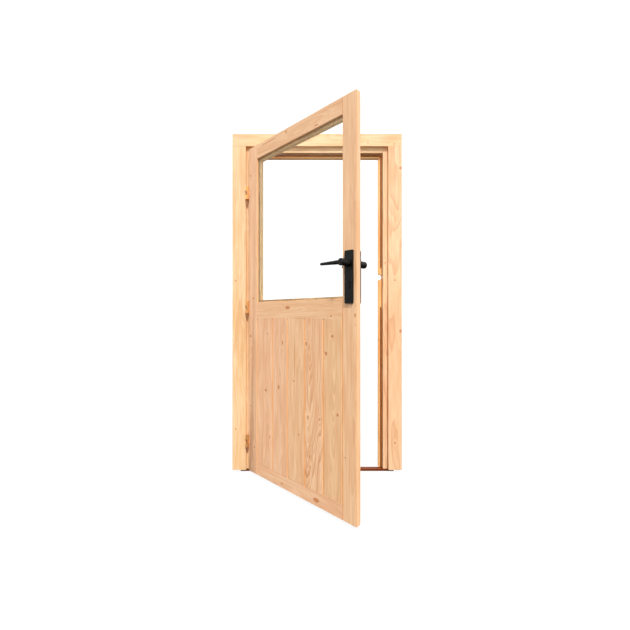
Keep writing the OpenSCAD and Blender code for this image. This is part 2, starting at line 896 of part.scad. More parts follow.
// Draws a shape given in u and z through the leaf between two depths
module through_w(w0, w1) {
    translate([0, w1, 0]) rotate([90, 0, 0]) linear_extrude(w1 - w0) children();
}

module cylinder_prism(w0, w1, gap) {
    translate([lock_u, 0, cyl_z]) through_w(w0, w1) cylinder_outline(gap);
}

module lock_mortise() {
    block([case_u0 - case_fit, case_w0 - case_fit, case_z0 - case_fit],
        [forend_u + 1, case_w1 + case_fit, case_z1 + case_fit]);
    block([forend_u - forend_t, lock_w - forend_w / 2, forend_z0],
        [forend_u + 1, lock_w + forend_w / 2, forend_z1]);
    rod_y([lock_u, -1, lock_z], neck_r - 1.5, leaf_t + 2);
    cylinder_prism(-1, leaf_t + 1, 0.5);
    for (z = [plate_top - plate_screw_in, plate_bottom + plate_screw_in])
        rod_y([lock_u, -1, z], plate_screw_r + 0.3, leaf_t + 2);
    forend_screw_places() screw_hole_y([0, 0, 0], forend_screw_r, forend_screw_l + 1);
}

module forend_screw_places() {
    for (z = forend_screw_z) translate([forend_u, lock_w, z]) rotate([0, 0, 90]) children();
}

// Slots that the latch and the dead bolt slide in
module bolt_slots(gap) {
    for (slot = [[latch_z, latch_h, latch_w], [bolt_z, bolt_h, bolt_w]])
        block([case_u1 - case_wall - 1, lock_w - slot[2] / 2 - gap, slot[0] - slot[1] / 2 - gap],
            [forend_u + 1, lock_w + slot[2] / 2 + gap, slot[0] + slot[1] / 2 + gap]);
}

module cylinder_screw_place() {
    translate([forend_u, lock_w, cylinder_screw_z]) rotate([0, 0, 90]) children();
}

module lock_case() {
    color(STEEL) on_leaf() difference() {
        block([case_u0, case_w0, case_z0], [case_u1, case_w1 - case_wall, case_z1]);
        block([case_u0 + case_wall, case_w0 + case_wall, case_z0 + case_wall],
            [case_u1 - case_wall, case_w1, case_z1 - case_wall]);
        rod_y([lock_u, case_w0 - 1, lock_z], follower_r + RUN, case_t);
        cylinder_prism(case_w0 - 1, case_w1, 0.3);
        bolt_slots(SLIDE);
        cylinder_screw_place() translate([0, -1, 0]) rod_y([0, 0, 0], cylinder_screw_r + 0.4, forend_t + 6);
    }
}

module lock_cover() {
    color(STEEL) on_leaf() difference() {
        block([case_u0, case_w1 - case_wall, case_z0], [case_u1, case_w1, case_z1]);
        rod_y([lock_u, case_w0 - 1, lock_z], follower_r + RUN, case_t + 2);
        cylinder_prism(case_w0 - 1, case_w1 + 1, 0.3);
    }
}

module lock_forend() {
    color(STEEL) on_leaf() difference() {
        block([forend_u - forend_t, lock_w - forend_w / 2, forend_z0],
            [forend_u, lock_w + forend_w / 2, forend_z1]);
        bolt_slots(SLIDE);
        forend_screw_places() screw_hole_y([0, 0, 0], forend_screw_r, forend_screw_l);
        cylinder_screw_place() screw_hole_y([0, 0, 0], cylinder_screw_r, 20);
    }
}

module forend_screws() {
    color(STEEL) on_leaf() forend_screw_places() screw_y([0, 0, 0], forend_screw_r, forend_screw_l);
}

module cylinder_body() {
    color(BLACK) on_leaf() difference() {
        cylinder_prism(cyl_w0, cyl_w1, 0);
        rod_y([lock_u, cyl_w0 - 1, cyl_z], plug_r + RUN, cyl_w1 - cyl_w0 + 2);
        block([lock_u - cyl_r - 1, lock_w - cam_gap / 2, cyl_z - cam_r - 1],
            [lock_u + cyl_r + 1, lock_w + cam_gap / 2, cyl_z + cyl_r + 1]);
        cylinder_screw_place() rod_y([0, 0, 0], cylinder_screw_r, backset + 20);
    }
}

module cylinder_screw() {
    color(STEEL) on_leaf() cylinder_screw_place()
        screw_y([0, 0, 0], cylinder_screw_r, backset + cyl_lobe_w / 2 + 4);
}

// The plug with its cam, in one, with a key slot in each end
module cylinder_plug() {
    color(STEEL) on_leaf() difference() {
        union() {
            rod_y([lock_u, cyl_w0, cyl_z], plug_r, cyl_w1 - cyl_w0);
            translate([lock_u, 0, cyl_z]) intersection() {
                rod_y([0, lock_w - cam_gap / 2 + SLIDE, 0], cam_r, cam_gap - 2 * SLIDE);
                union() {
                    rod_y([0, lock_w - cam_gap / 2, 0], cyl_r, cam_gap);
                    block([-3, lock_w - cam_gap / 2, -cam_r], [3, lock_w + cam_gap / 2, 0]);
                }
            }
        }
        for (w = [cyl_w0 - 1, cyl_w1 - 11])
            block([lock_u - 0.9, w, cyl_z - 4], [lock_u + 0.9, w + 12, cyl_z + 4]);
    }
}

// Follower turned by the spindle, with an arm that draws the latch back
module lock_follower() {
    color(STEEL) on_leaf() difference() {
        union() {
            rod_y([lock_u, case_w0, lock_z], follower_r, case_t);
            block([lock_u - follower_arm_w / 2, lock_w - 2.5, lock_z],
                [lock_u + follower_arm_w / 2, lock_w + 2.5, lock_z + follower_arm_r]);
        }
        spindle_bar(case_w0 - 1, case_w1 + 1, 0);
    }
}

module latch_bolt() {
    head_u0 = case_u1 - 10;
    tail_z0 = lock_z + follower_arm_r + 1;
    hook_u1 = lock_u - follower_arm_w / 2 - 0.5;
    color(STEEL) on_leaf() union() {
        difference() {
            block([head_u0, lock_w - latch_w / 2, latch_z - latch_h / 2],
                [forend_u + latch_out, lock_w + latch_w / 2, latch_z + latch_h / 2]);
            translate([forend_u + 2, lock_w + latch_w / 2, latch_z - latch_h])
                linear_extrude(2 * latch_h)
                    polygon([[0, EPS], [latch_out, EPS], [latch_out, -latch_w + 1.5]]);
        }
        block([hook_u1 - 3.5, lock_w - 2, tail_z0], [head_u0 + EPS, lock_w + 2, tail_z0 + 6]);
        block([hook_u1 - 3.5, lock_w - 2, lock_z + follower_r + 3], [hook_u1, lock_w + 2, tail_z0 + EPS]);
    }
}

module dead_bolt() {
    color(STEEL) on_leaf() union() {
        block([forend_u - bolt_l, lock_w - bolt_w / 2, bolt_z - bolt_h / 2],
            [forend_u, lock_w + bolt_w / 2, bolt_z + bolt_h / 2]);
        block([forend_u - bolt_l, lock_w - 2, cyl_z + cam_r + 2],
            [forend_u - bolt_l + 5, lock_w + 2, bolt_z - bolt_h / 2 + EPS]);
    }
}

// ---------------------------------------------------------------- levers and plates

// Outline of a handle plate in u and z, with rounded corners
module plate_outline() {
    r = 3;
    translate([lock_u - plate_w / 2, plate_bottom]) union() {
        translate([r, 0]) square([plate_w - 2 * r, plate_l]);
        translate([0, r]) square([plate_w, plate_l - 2 * r]);
        for (x = [r, plate_w - r], y = [r, plate_l - r]) translate([x, y]) circle(r = r);
    }
}

module plate_blank(w0, w1) {
    difference() {
        through_w(w0, w1) plate_outline();
        rod_y([lock_u, w0 - 1, lock_z], neck_r + RUN, plate_t + 2);
        cylinder_prism(w0 - 1, w1 + 1, 0.3);
    }
}

module plate_outside() {
    color(BLACK) on_leaf() difference() {
        plate_blank(-plate_t, 0);
        plate_screw_places() rod_y([0, -1, 0], plate_screw_r, plate_t + 2);
        plate_screw_places() rod_y([0, -1, 0], plate_screw_r + 1.5, 4);
    }
}

module plate_inside() {
    color(BLACK) on_leaf() difference() {
        plate_blank(leaf_t, leaf_t + plate_t);
        plate_screw_places() rod_y([0, leaf_t + plate_t - 1, 0], plate_screw_r, plate_t + 2);
        plate_screw_places() rod_y([0, leaf_t + 2 * plate_t - 3, 0], plate_screw_r + 1.5, 4);
    }
}

// Through screws and the sleeve nuts that they meet
module plate_screw_places() {
    for (z = [plate_top - plate_screw_in, plate_bottom + plate_screw_in])
        translate([lock_u, -plate_t, z]) children();
}

module plate_screws() {
    full = leaf_t + 2 * plate_t;
    color(BLACK) on_leaf() plate_screw_places() difference() {
        union() {
            rod_y([0, 1, 0], plate_screw_r, full - 2);
            rod_y([0, 1, 0], plate_screw_r + 1.3, 2);
            rod_y([0, full - 3, 0], plate_screw_r + 1.3, 2);
        }
        for (w = [0, full - 2]) rod_hex(w, 1.6);
    }
}

module rod_hex(w, r) {
    translate([0, w, 0]) rotate([-90, 0, 0]) cylinder(r = r, h = 2, $fn = 6);
}

module spindle_bar(w0, w1, gap) {
    half = spindle_w / 2 + gap;
    block([lock_u - half, w0, lock_z - half], [lock_u + half, w1, lock_z + half]);
}

module spindle() {
    color(STEEL) on_leaf() spindle_bar(-plate_t - 24, leaf_t + plate_t + 24, 0);
}

// A lever drawn with its axis along -w from the plate's face at w = 0, its arm towards the hinges
module lever() {
    arm_w = -lever_off + arm_r;
    difference() {
        union() {
            rod_y([0, -1, 0], neck_r, plate_t + 1);
            rod_y([0, -lever_off + hub_round, 0], hub_r, lever_off - hub_round - lever_clear);
            translate([0, -lever_off + hub_round, 0]) rotate([90, 0, 0])
                rotate_extrude() polygon(concat([[0, 0]],
                    [for (a = [0 : 15 : 90]) [hub_r - hub_round * (1 - cos(a)), hub_round * sin(a)]],
                    [[0, hub_round]]));
            hull() {
                translate([0, arm_w, 0]) scale([1, 0.85, 1]) sphere(r = arm_r, $fn = 32);
                translate([-lever_l + tip_r, arm_w, arm_rise]) scale([1, 0.9, 1]) sphere(r = tip_r, $fn = 32);
            }
        }
        block([-spindle_w / 2, -24, -spindle_w / 2], [spindle_w / 2, plate_t + 1, spindle_w / 2]);
    }
}

module lever_outside() {
    color(BLACK) on_leaf() translate([lock_u, -plate_t, lock_z]) lever();
}

module lever_inside() {
    color(BLACK) on_leaf() translate([lock_u, leaf_t + plate_t, lock_z]) mirror([0, 1, 0]) lever();
}

jamb_hinge_side();
jamb_lock_side();
frame_head();
sill();
stop_hinge_side();
stop_lock_side();
stop_head();
seal_hinge_side();
seal_lock_lower();
seal_lock_upper();
seal_head();
strike_plate();
strike_screws();
frame_corner_screws();
sill_screws();
hinge_lower_frame();
hinge_middle_frame();
hinge_upper_frame();
hinge_pins();
hinge_screws_frame();
stile_hinge_side();
stile_lock_side();
rail_top();
rail_middle();
rail_bottom();
board_1();
board_2();
board_3();
board_4();
board_5();
glass();
glazing_tape();
bead_top();
bead_bottom();
bead_hinge_side();
bead_lock_side();
bead_pins();
hinge_lower_leaf();
hinge_middle_leaf();
hinge_upper_leaf();
hinge_screws_leaf();
lock_case();
lock_cover();
lock_forend();
forend_screws();
plate_outside();
plate_inside();
plate_screws();
cylinder_body();
cylinder_screw();
lever_outside();
lever_inside();
spindle();
lock_follower();
latch_bolt();
dead_bolt();
cylinder_plug();
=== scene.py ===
"""Looks of a half-glazed stable door: oiled pine, a hardwood sill, black furniture and clear glass.

Lengths are metres unless a name ends in _mm. The door stands ajar, so the leaf has directions of its
own: u from the hinge edge to the lock edge, w from the outer face inwards, and z upwards.
"""
import json
import math
import random

import bpy
from mathutils import Matrix, Vector

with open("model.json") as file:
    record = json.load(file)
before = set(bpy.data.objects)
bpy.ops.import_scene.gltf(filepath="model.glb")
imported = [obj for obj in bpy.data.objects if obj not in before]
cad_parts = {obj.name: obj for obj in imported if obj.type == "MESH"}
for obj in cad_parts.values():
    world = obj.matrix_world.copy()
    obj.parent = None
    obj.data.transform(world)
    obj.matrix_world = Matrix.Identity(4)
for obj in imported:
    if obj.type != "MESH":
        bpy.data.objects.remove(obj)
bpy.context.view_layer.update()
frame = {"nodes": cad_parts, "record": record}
NODES = frame["nodes"]
BODIES = frame["record"]["behaviour"]["bodies"]
HINGE = next(j for j in frame["record"]["behaviour"]["joints"] if j["name"] == "leaf_hinge")
MM = 0.001

# The leaf's turn from closed, and its outer corner on the hinge side, which lies off the hinge axis
LEAF_TURN = -math.radians(HINGE["range_deg"][0])
TO_LEAF = Matrix.Rotation(LEAF_TURN, 3, "Z")
AXIS_TO_CORNER = Vector((3 * MM, 6 * MM, 0))
LEAF_CORNER = Vector(HINGE["pos_m"]) * Vector((1, 1, 0)) + TO_LEAF.transposed() @ AXIS_TO_CORNER


def linear(hex_code):
    """The linear colour of an sRGB hex code such as #e6b88c."""
    parts = [int(hex_code[i:i + 2], 16) / 255 for i in (1, 3, 5)]
    return (*[p / 12.92 if p <= 0.04045 else ((p + 0.055) / 1.055) ** 2.4 for p in parts], 1.0)


def add(tree, kind, inputs=None, **settings):
    """Adds a node with its settings. An input takes a value, a node, or a node and its output's name."""
    node = tree.nodes.new(kind)
    for name, value in settings.items():
        setattr(node, name, value)
    for key, value in (inputs or {}).items():
        socket = node.inputs[key] if isinstance(key, int) else next(
            s for s in node.inputs if s.enabled and s.name == key)
        source, output = value if isinstance(value, tuple) and isinstance(value[-1], str) else (value, None)
        if isinstance(source, bpy.types.Node):
            socket_out = source.outputs[output] if output else next(o for o in source.outputs if o.enabled)
            tree.links.new(socket_out, socket)
        else:
            socket.default_value = value
    return node


def new_material(name):
    """An empty material and its node tree."""
    mat = bpy.data.materials.new(name)
    mat.use_nodes = True
    mat.node_tree.nodes.clear()
    return mat, mat.node_tree


# ------------------------------------------------------------------ timber

# Growth rings: the width of a year, how far the slow wander and a knot push the rings aside, all in mm
RING_MM = 6.5
WANDER_MM = 62.0
KNOT_BEND_MM = 15.0
# Distance from a knot, 0 at its middle and 1 at its rim. A place this far out is by no knot.
BY_NO_KNOT = 9.0
# Depth in mm behind the leaf's face of the middle of its bevels, where painted shade is drawn
BEVEL_DEPTH_MM = 2.4


def timber_place(tree, grain, on_leaf):
    """Millimetres across the grain, into the wood and along the grain, as one vector."""
    place = add(tree, "ShaderNodeTexCoord")
    square = add(tree, "ShaderNodeMapping", {
        "Vector": (place, "Object"), "Scale": (1 / MM, 1 / MM, 1 / MM),
        "Rotation": (0, 0, LEAF_TURN if on_leaf else 0),
        "Location": -(TO_LEAF @ LEAF_CORNER) / MM if on_leaf else (0, 0, 0)})
    if grain == "upright":
        return square
    parts = add(tree, "ShaderNodeSeparateXYZ", {"Vector": square})
    return add(tree, "ShaderNodeCombineXYZ", {"X": (parts, "Z"), "Y": (parts, "Y"), "Z": (parts, "X")})


def planed_pine(name, grain, on_leaf, pith, knots, tones, seed):
    """Pine, planed and oiled clear: honey bands that arch where the saw ran flat to the growth rings,
    a fine streaked grain, and small orange knots with a dark rim that the grain flows round. The rings
    and streaks are drawn two or three times as wide as real ones, so that they show across a room.
    A knot is its place across, its place along and its radius in mm, and how far it is drawn out.
    The pith is its place across and into the wood in mm, and how far it leans in on the way up."""
    rng = random.Random(seed)
    figure = tones[3]
    mat, tree = new_material(name)
    place = timber_place(tree, grain, on_leaf)

    # A slow wander of the grain, so that no line is ruled straight
    slow = add(tree, "ShaderNodeVectorMath", {0: place, 1: (1 / 75, 1 / 90, 1 / 520),
               2: [rng.uniform(0, 99) for _ in range(3)]}, operation="MULTIPLY_ADD")
    wander = add(tree, "ShaderNodeTexNoise", {"Vector": slow, "Scale": 1.0, "Detail": 2.0, "Roughness": 0.45})
    rough = add(tree, "ShaderNodeVectorMath", {0: place, 1: (1 / 9, 1 / 40, 1 / 14)}, operation="MULTIPLY")
    ragged = add(tree, "ShaderNodeTexNoise", {"Vector": rough, "Scale": 1.0, "Detail": 1.0})
    ragged = add(tree, "ShaderNodeMath", {0: ragged, 1: 0.5}, operation="SUBTRACT")

    # How near the nearest knot is, first to its own rim and then along the grain that it bends
    rim, reach = BY_NO_KNOT, BY_NO_KNOT
    for across, along, radius, drawn_out in knots:
        apart = add(tree, "ShaderNodeVectorMath", {0: place, 1: (across, 0, along)}, operation="SUBTRACT")
        core = add(tree, "ShaderNodeVectorMath", {0: apart, 1: (1 / radius, 0, 1 / (radius * drawn_out))},
                   operation="MULTIPLY")
        core = add(tree, "ShaderNodeVectorMath", {0: core}, operation="LENGTH")
        rim = add(tree, "ShaderNodeMath", {0: rim, 1: core}, operation="MINIMUM")
        flow = (1 / (2.6 * radius + 6), 0, 1 / (6.5 * radius * drawn_out + 12))
        flow = add(tree, "ShaderNodeVectorMath", {0: apart, 1: flow}, operation="MULTIPLY")
        flow = add(tree, "ShaderNodeVectorMath", {0: flow}, operation="LENGTH")
        reach = add(tree, "ShaderNodeMath", {0: reach, 1: flow}, operation="MINIMUM")
    rim = add(tree, "ShaderNodeMath", {0: ragged, 1: 0.9, 2: rim}, operation="MULTIPLY_ADD")
    bend = add(tree, "ShaderNodeMapRange", {"Value": reach, "From Min": 1.0, "From Max": 0.0,
               "To Max": KNOT_BEND_MM}, interpolation_type="SMOOTHERSTEP")

    # Growth rings round the pith, each year with a strength of its own
    across, depth, lean = pith
    from_pith = add(tree, "ShaderNodeMapping", {"Vector": place, "Location": (-across, -depth, 0),
                    "Rotation": (lean, 0, 0)})
    from_pith = add(tree, "ShaderNodeVectorMath", {0: from_pith, 1: (1, 1, 0)}, operation="MULTIPLY")
    rings = add(tree, "ShaderNodeVectorMath", {0: from_pith}, operation="LENGTH")
    rings = add(tree, "ShaderNodeMath", {0: wander, 1: WANDER_MM, 2: rings}, operation="MULTIPLY_ADD")
    rings = add(tree, "ShaderNodeMath", {0: rings, 1: bend}, operation="ADD")
    rings = add(tree, "ShaderNodeMath", {0: rings, 1: RING_MM}, operation="DIVIDE")
    year = add(tree, "ShaderNodeMath", {0: rings}, operation="FLOOR")
    year = add(tree, "ShaderNodeTexWhiteNoise", {"W": year}, noise_dimensions="1D")
    year = add(tree, "ShaderNodeMapRange", {"Value": (year, "Value"), "To Min": 0.15 * figure,
               "To Max": figure})
    late = add(tree, "ShaderNodeValToRGB", {"Fac": add(tree, "ShaderNodeMath", {0: rings}, operation="FRACT")})
    late.color_ramp.elements[0].position = 0.15
    late.color_ramp.elements[1].position = 0.86
    late.color_ramp.elements.new(1.0).color = (0, 0, 0, 1)
    late = add(tree, "ShaderNodeMath", {0: late, 1: year}, operation="MULTIPLY")

    # Streaks along the grain, and broad patches of a deeper tone
    streak = add(tree, "ShaderNodeVectorMath", {0: place, 1: (1 / 10, 1 / 10, 1 / 330)}, operation="MULTIPLY")
    streak = add(tree, "ShaderNodeTexNoise", {"Vector": streak, "Scale": 1.0, "Detail": 4.0,
                 "Roughness": 0.62})
    patch = add(tree, "ShaderNodeVectorMath", {0: place, 1: (1 / 38, 1 / 38, 1 / 260)}, operation="MULTIPLY")
    patch = add(tree, "ShaderNodeTexNoise", {"Vector": patch, "Scale": 1.0, "Detail": 2.0})

    light, middle, dark = [linear(tone) for tone in tones[:3]]
    tint = add(tree, "ShaderNodeMapRange", {"Value": patch, "From Min": 0.36, "From Max": 0.64},
               interpolation_type="SMOOTHSTEP")
    wood = add(tree, "ShaderNodeMix", {"Factor": tint, "A": light, "B": middle}, data_type="RGBA")
    wood = add(tree, "ShaderNodeMix", {"Factor": late, "A": wood, "B": dark}, data_type="RGBA")
    thread = add(tree, "ShaderNodeMapRange", {"Value": streak, "From Min": 0.42, "From Max": 0.72,
                 "To Max": 0.3}, interpolation_type="SMOOTHSTEP")
    wood = add(tree, "ShaderNodeMix", {"Factor": thread, "A": wood, "B": dark}, data_type="RGBA")
    knot = add(tree, "ShaderNodeValToRGB", {"Fac": rim})
    knot.color_ramp.elements[0].color = linear("#c26c2c")
    knot.color_ramp.elements[1].position = 0.9
    knot.color_ramp.elements[1].color = linear("#a95a24")
    knot.color_ramp.elements.new(0.55).color = linear("#d98d49")
    in_knot = add(tree, "ShaderNodeMapRange", {"Value": rim, "From Min": 1.4, "From Max": 0.7,
                  "To Max": 0.9}, interpolation_type="SMOOTHSTEP")
    wood = add(tree, "ShaderNodeMix", {"Factor": in_knot, "A": wood, "B": knot}, data_type="RGBA")
    if on_leaf:
        # Painted shade: the bevels behind the leaf's face are drawn a deeper orange, standing in for the shade
        # and warm bounce light in them
        behind = add(tree, "ShaderNodeSeparateXYZ", {"Vector": place})
        behind = add(tree, "ShaderNodeMath", {0: (behind, "Y"), 1: BEVEL_DEPTH_MM},
                     operation="SUBTRACT")
        behind = add(tree, "ShaderNodeMath", {0: behind}, operation="ABSOLUTE")
        bevel = add(tree, "ShaderNodeMapRange", {"Value": behind, "From Min": 2.2, "From Max": 1.4,
                    "To Max": 0.75})
        wood = add(tree, "ShaderNodeMix", {"Factor": bevel, "A": wood, "B": linear("#f0a860")},
                   data_type="RGBA")

    # Oil soaks into the soft bands, so they are a little duller and lower than the hard ones
    gloss = add(tree, "ShaderNodeMapRange", {"Value": streak, "From Min": 0.3, "From Max": 0.7,
                "To Min": 0.62, "To Max": 0.5})
    relief = add(tree, "ShaderNodeMath", {0: streak, 1: 0.7, 2: late}, operation="MULTIPLY_ADD")
    bump = add(tree, "ShaderNodeBump", {"Height": relief, "Strength": 0.3, "Distance": 0.3 * MM})
    shader = add(tree, "ShaderNodeBsdfPrincipled", {"Base Color": wood, "Roughness": gloss, "IOR": 1.46,
                 "Normal": bump})
    add(tree, "ShaderNodeOutputMaterial", {"Surface": shader})
    return mat


def oiled_hardwood(name):
    """Red-brown hardwood, planed and oiled: deep and even, with short dark pores along the grain."""
    mat, tree = new_material(name)
    place = timber_place(tree, "level", False)
    bands = add(tree, "ShaderNodeVectorMath", {0: place, 1: (1 / 9, 1 / 9, 1 / 260)}, operation="MULTIPLY")
    figure = add(tree, "ShaderNodeTexNoise", {"Vector": bands, "Scale": 1.0, "Detail": 3.0})
    dashes = add(tree, "ShaderNodeVectorMath", {0: place, 1: (1 / 1.2, 1 / 1.2, 1 / 18)}, operation="MULTIPLY")
    pores = add(tree, "ShaderNodeTexNoise", {"Vector": dashes, "Scale": 1.0, "Detail": 2.0})
    share = add(tree, "ShaderNodeMapRange", {"Value": figure, "From Min": 0.35, "From Max": 0.65})
    wood = add(tree, "ShaderNodeMix", {"Factor": share, "A": linear("#6b3211"), "B": linear("#823f1c")},
               data_type="RGBA")
    pore = add(tree, "ShaderNodeMapRange", {"Value": pores, "From Min": 0.56, "From Max": 0.7, "To Max": 0.55})
    wood = add(tree, "ShaderNodeMix", {"Factor": pore, "A": wood, "B": linear("#4c2611")}, data_type="RGBA")
    gloss = add(tree, "ShaderNodeMapRange", {"Value": figure, "To Min": 0.38, "To Max": 0.52})
    bump = add(tree, "ShaderNodeBump", {"Height": pores, "Strength": 0.3, "Distance": 0.2 * MM})
    shader = add(tree, "ShaderNodeBsdfPrincipled", {"Base Color": wood, "Roughness": gloss, "Normal": bump,
                 "Specular IOR Level": 0.2})
    add(tree, "ShaderNodeOutputMaterial", {"Surface": shader})
    return mat


# ------------------------------------------------------------------ metal, glass and rubber

def two_tone_skin(name, first, second, grain_mm, roughness, metallic=0.0, shine=0.5):
    """A skin whose tone, gloss and height all vary with one fine grain."""
    mat, tree = new_material(name)
    place = add(tree, "ShaderNodeTexCoord")
    grain = add(tree, "ShaderNodeTexNoise", {"Vector": (place, "Object"), "Scale": 1 / (grain_mm * MM),
                "Detail": 2.0})
    cloud = add(tree, "ShaderNodeTexNoise", {"Vector": (place, "Object"), "Scale": 1 / (14 * grain_mm * MM),
                "Detail": 3.0})
    both = add(tree, "ShaderNodeMath", {0: grain, 1: cloud}, operation="ADD")
    share = add(tree, "ShaderNodeMapRange", {"Value": both, "From Min": 0.8, "From Max": 1.2})
    skin = add(tree, "ShaderNodeMix", {"Factor": share, "A": linear(first), "B": linear(second)},
               data_type="RGBA")
    gloss = add(tree, "ShaderNodeMapRange", {"Value": both, "From Min": 0.7, "From Max": 1.3,
                "To Min": roughness - 0.05, "To Max": roughness + 0.06})
    bump = add(tree, "ShaderNodeBump", {"Height": grain, "Strength": 0.4, "Distance": 0.06 * MM})
    shader = add(tree, "ShaderNodeBsdfPrincipled", {"Base Color": skin, "Roughness": gloss, "Normal": bump,
                 "Metallic": metallic, "Specular IOR Level": shine})
    add(tree, "ShaderNodeOutputMaterial", {"Surface": shader})
    return mat


def float_glass(name):
    """Float glass, clear, with a faint wave in it. It bends light less than real glass does, so that
    the pane shows no sheen over the timber behind it."""
    mat, tree = new_material(name)
    place = add(tree, "ShaderNodeTexCoord")
    wave = add(tree, "ShaderNodeTexNoise", {"Vector": (place, "Object"), "Scale": 3.0, "Detail": 1.0})
    bump = add(tree, "ShaderNodeBump", {"Height": wave, "Strength": 0.1, "Distance": 0.2 * MM})
    shader = add(tree, "ShaderNodeBsdfPrincipled", {"Base Color": linear("#fcfffe"), "Roughness": 0.0,
                 "IOR": 1.12, "Transmission Weight": 1.0, "Normal": bump})
    add(tree, "ShaderNodeOutputMaterial", {"Surface": shader})
    return mat


# ------------------------------------------------------------------ dressing the pieces

# Points closer than this are one point, and an edge that turns by more than this is a sharp one
WELD_MM = 0.002
SHARP_DEG = 38


def dress(nodes, mat):
    """Gives CAD nodes one material."""
    for node in nodes:
        NODES[node].data.materials.clear()
        NODES[node].data.materials.append(mat)


def ease_edges(node, width_mm, segments=2):
    """Rounds a piece's sharp edges slightly, as a plane and sandpaper or a press leave them."""
    weld = NODES[node].modifiers.new("weld", "WELD")
    weld.merge_threshold = WELD_MM * MM
    bevel = NODES[node].modifiers.new("eased_edges", "BEVEL")
    bevel.width = width_mm * MM
    bevel.segments = segments
    bevel.limit_method = "ANGLE"
    bevel.angle_limit = math.radians(SHARP_DEG)
    bevel.harden_normals = True


# Tones of a batch: light band, middle band, dark line, and how strongly the rings show. The stops' and the
# beads' tones also hold painted light.
HONEY = ("#f3cfa2", "#ecc391", "#cf9156", 0.55)
ROSY_HONEY = ("#f4cca1", "#efc193", "#d0895a", 0.55)
LEAF = ("#f9cca0", "#f1be90", "#d2935f", 0.4)
LEAF_ROSY = ("#facca3", "#f2bd93", "#d19366", 0.4)
LEAF_STRAW = ("#f9ce9f", "#f0be8f", "#c98e55", 0.5)
LEAF_FIGURED = ("#ffd4a9", "#f5c195", "#c87d44", 0.75)
# Painted light: the stops sit back in the rebate, and their brighter, stronger orange stands in for the warm
# bounce light there
ORANGE_PAINTED_BOUNCE = ("#ffc884", "#f8b56c", "#d08843", 0.4)
# Painted highlight: the beads are drawn a little paler than the leaf, standing in for the light their fronts
# catch
PALE_PAINTED_HIGHLIGHT = ("#f6d3a4", "#efc693", "#cf9a62", 0.4)

# Grain, pith, tones, easing and knots of each piece. On the leaf, across and along are u and z.
TIMBER = {
    "jamb_hinge_side": ("upright", (-430, 90, 0.01), HONEY, 1.5,
                        [(-481, 1133, 4, 1), (-481, 257, 4, 1)]),
    "jamb_lock_side": ("upright", (455, 75, -0.02), ROSY_HONEY, 1.5,
                       [(460, 1136, 6, 0.7), (460, 174, 6, 0.7), (493, 1798, 7, 1.2), (493, 835, 7, 1.2),
                        (406, 1240, 3.5, 1)]),
    "frame_head": ("level", (1960, 85, 0.02), HONEY, 1.5,
                   [(1948, 300, 4, 1), (1975, -90, 5, 1.6), (1940, 455, 4, 1)]),
    # The stops' tone carries painted bounce light
    "stop_hinge_side": ("upright", (-380, 120, 0.01), ORANGE_PAINTED_BOUNCE, 1.0, [(-381, 640, 3, 1)]),
    "stop_lock_side": ("upright", (380, 120, 0.01), ORANGE_PAINTED_BOUNCE, 1.0, [(381, 820, 3, 1)]),
    "stop_head": ("level", (1880, 120, 0.01), ORANGE_PAINTED_BOUNCE, 1.0, [(1884, 120, 3, 1)]),
    "stile_hinge_side": ("upright", (30, 70, 0.01), LEAF_ROSY, 1.5,
                         [(14, 1744, 5, 1), (40, 1027, 6, 0.7), (14, 807, 6, 1.4), (16, 401, 3.5, 1),
                          (53, 169, 6, 0.8)]),
    "stile_lock_side": ("upright", (800, 80, 0.01), LEAF, 1.5,
                        [(741, 300, 3, 1), (798, 930, 4, 2)]),
    "rail_top": ("level", (1850, 60, 0.02), LEAF, 1.5,
                 [(1885, 336, 6, 0.8), (1884, 190, 2.2, 28), (1838, 560, 3, 4)]),
    "rail_middle": ("level", (960, 20, 0.06), LEAF, 1.5,
                    [(969, 348, 7, 2.4), (925, 655, 3, 2)]),
    "rail_bottom": ("level", (30, 10, 0.05), LEAF_ROSY, 1.5, [(46, 560, 8, 2.2), (40, 300, 3, 3)]),
    "board_1": ("upright", (150, 70, 0.02), LEAF_ROSY, 0.8,
                [(160, 513, 8, 0.8), (177, 827, 4.5, 0.7), (196, 260, 3, 3)]),
    "board_2": ("upright", (300, 60, 0.03), LEAF_ROSY, 0.8, [(275, 546, 6, 1.8), (307, 785, 4, 2.4)]),
    "board_3": ("upright", (455, 80, 0.02), LEAF, 0.8,
                [(404, 715, 1.8, 48), (397, 594, 5.5, 0.6), (436, 330, 3, 2)]),
    "board_4": ("upright", (508, -90, 0.11), LEAF_FIGURED, 0.8,
                [(490, 790, 5, 1.6), (502, 430, 5, 1.6), (583, 437, 4.5, 1.2), (515, 240, 3, 3)]),
    "board_5": ("upright", (672, 60, -0.07), LEAF_STRAW, 0.8,
                [(664, 834, 6, 1.1), (624, 751, 8, 0.9), (696, 480, 6, 1.0)]),
    # The beads' tone carries a painted highlight
    "bead_top": ("level", (1800, 90, 0.01), PALE_PAINTED_HIGHLIGHT, 0.8, [(1815, 500, 2, 1)]),
    "bead_bottom": ("level", (1020, 90, 0.01), PALE_PAINTED_HIGHLIGHT, 0.8, [(1011, 430, 2, 1)]),
    "bead_hinge_side": ("upright", (60, 90, 0.01), PALE_PAINTED_HIGHLIGHT, 0.8, [(85, 1500, 2, 1)]),
    "bead_lock_side": ("upright", (700, 90, 0.01), PALE_PAINTED_HIGHLIGHT, 0.8, [(720, 1400, 2, 1)]),
}
for seed, (node, (grain, pith, tones, easing, knots)) in enumerate(TIMBER.items()):
    pine = planed_pine("planed_pine_" + node, grain, node in BODIES["leaf"], pith, knots, tones, seed)
    dress([node], pine)
    ease_edges(node, easing)

dress(["sill"], oiled_hardwood("oiled_hardwood"))
ease_edges("sill", 1.2)

